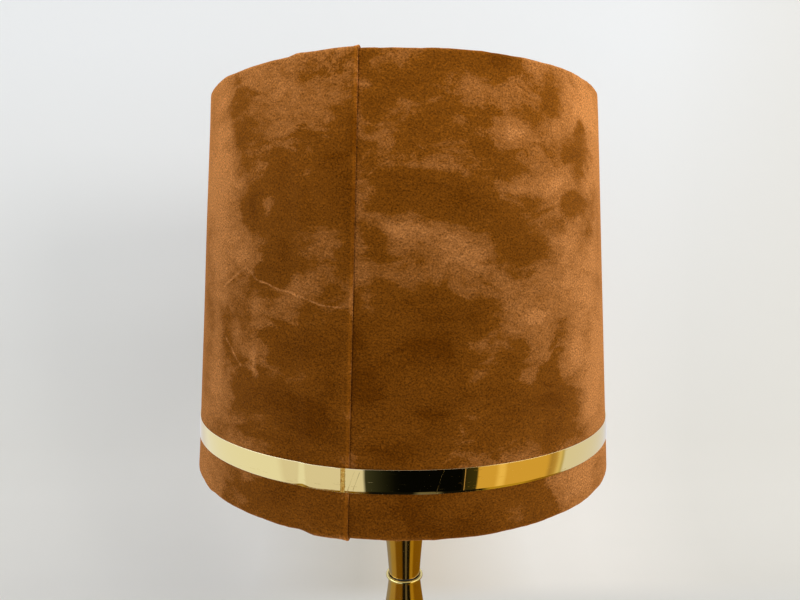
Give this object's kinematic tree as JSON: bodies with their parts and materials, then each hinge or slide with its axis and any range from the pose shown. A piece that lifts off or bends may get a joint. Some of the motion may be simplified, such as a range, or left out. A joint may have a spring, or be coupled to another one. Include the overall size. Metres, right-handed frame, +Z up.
{
  "type": "table lamp",
  "caption": "Table lamp: hourglass brass stem on a weighted foot, screw lampholder with candle bulb, and a tapered suede drum shade with a gold band.",
  "frame": {"origin": "middle of the felt under the foot, on the surface the lamp stands on", "axes": "+Z up along the stem, -Y the front with the shade's seam a little to the left, +Y the back with the cord inlet"},
  "size_m": [0.2996, 0.2996, 0.5617],
  "materials": {
    "felt": "felt",
    "brass": "polished, lacquered",
    "cast_iron": "as cast",
    "grommet_plastic": "matt",
    "zinc_steel": "zinc plated",
    "holder_plastic": "glossy black",
    "porcelain": "glazed white",
    "bulb_glass": "clear",
    "bulb_cap": "satin",
    "cap_insulator": "dark glass",
    "solder": "solder",
    "filament": "drawn wire",
    "suede": "brushed suede nap",
    "card": "matt white",
    "gold_trim": "mirror",
    "white_wire": "white powder coat"
  },
  "bodies": {
    "base": {"base_felt": "felt", "foot_rim": "brass", "base_weight": "cast_iron", "cord_grommet": "grommet_plastic", "threaded_tube": "zinc_steel", "bottom_washer": "zinc_steel", "bottom_nut": "zinc_steel", "lower_trumpet": "brass", "waist_ring": "brass", "upper_trumpet": "brass", "stem_cap": "brass", "locknut": "brass", "holder_cap": "holder_plastic", "holder_skirt": "holder_plastic", "holder_core": "porcelain", "thread_sleeve": "brass", "centre_contact": "brass", "terminal_screws": "zinc_steel"},
    "lower_clamp": {"lower_clamp_ring": "holder_plastic"},
    "shade": {"suede_cover": "suede", "suede_seam": "suede", "shade_liner": "card", "gold_band": "gold_trim", "lower_hoop": "white_wire", "upper_hoop": "white_wire", "shade_spider": "white_wire"},
    "upper_clamp": {"upper_clamp_ring": "holder_plastic"},
    "bulb": {"bulb_glass": "bulb_glass", "bulb_cap": "bulb_cap", "bulb_insulator": "cap_insulator", "bulb_contact": "solder", "bulb_mount": "bulb_glass", "filament_wires": "filament"}
  },
  "joints": [
    {"name": "lower_clamp_turn", "type": "hinge", "parent": "base", "child": "lower_clamp", "pos_m": [0, 0, 0.3335], "axis": [0, 0, 1], "continuous": true},
    {"name": "shade_lift", "type": "slide", "parent": "lower_clamp", "child": "shade", "axis": [0, 0, 1], "range_m": [0, 0.2]},
    {"name": "upper_clamp_turn", "type": "hinge", "parent": "shade", "child": "upper_clamp", "pos_m": [0, 0, 0.342], "axis": [0, 0, 1], "continuous": true},
    {"name": "bulb_pull", "type": "slide", "parent": "base", "child": "bulb", "axis": [0, 0, 1], "range_m": [0, 0.03]}
  ]
}
